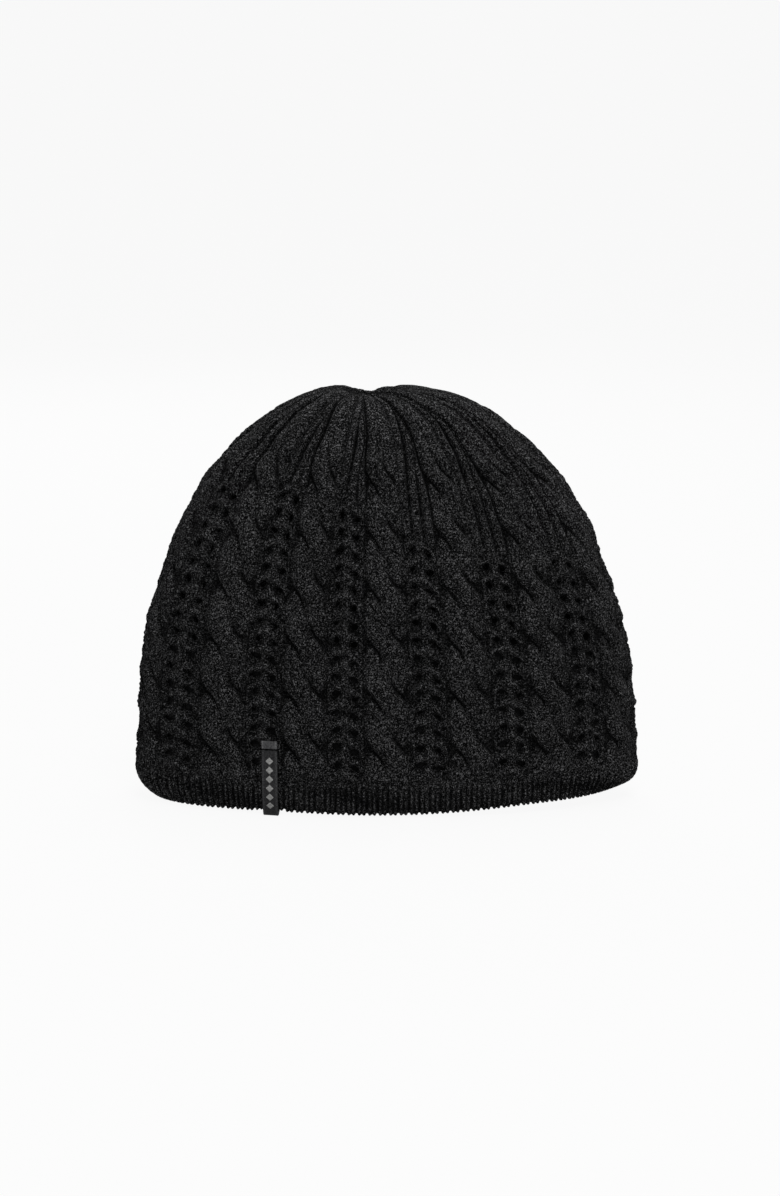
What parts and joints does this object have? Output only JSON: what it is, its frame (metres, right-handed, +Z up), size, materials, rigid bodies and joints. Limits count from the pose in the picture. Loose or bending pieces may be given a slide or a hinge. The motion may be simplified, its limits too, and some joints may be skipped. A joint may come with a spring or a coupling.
{
  "type": "knit beanie",
  "caption": "Close-fitting cable-and-lace knit beanie with a ribbed hem, gathered crown, fleece ear band, woven side tab and a care label that flips.",
  "frame": {"origin": "centre of the hat's footprint on the surface that it stands on, hem downwards", "axes": "+X across the hat's width, to the wearer's left; +Y from the front (the side with the tab) to the back seam; +Z up to the crown"},
  "size_m": [0.24, 0.1, 0.1995],
  "materials": {
    "knit": "matte heathered yarn",
    "fleece": "brushed pile",
    "thread": "spun polyester",
    "tab": "woven damask",
    "satin": "satin"
  },
  "bodies": {
    "hat": {"rib_hem": "knit", "knit_body": "knit", "knit_crown": "knit", "back_seam": "knit", "crown_gather_yarn": "knit", "crown_knot": "knit", "ear_band": "fleece", "ear_band_seam": "fleece", "ear_band_top_overlock": "thread", "ear_band_hem_stitching": "thread", "ear_band_tack_back": "thread", "ear_band_tack_left": "thread", "ear_band_tack_front": "thread", "ear_band_tack_right": "thread", "brand_tab": "tab", "brand_tab_front_stitching": "thread", "brand_tab_inside_stitching": "thread", "care_label_stitching": "thread"},
    "care_label": {"care_label": "satin"}
  },
  "joints": [
    {"name": "care_label_flip", "type": "hinge", "parent": "hat", "child": "care_label", "pos_m": [-0.00023, 0.0396, 0.042], "axis": [0, 0, -1], "range_deg": [0, 170]}
  ]
}
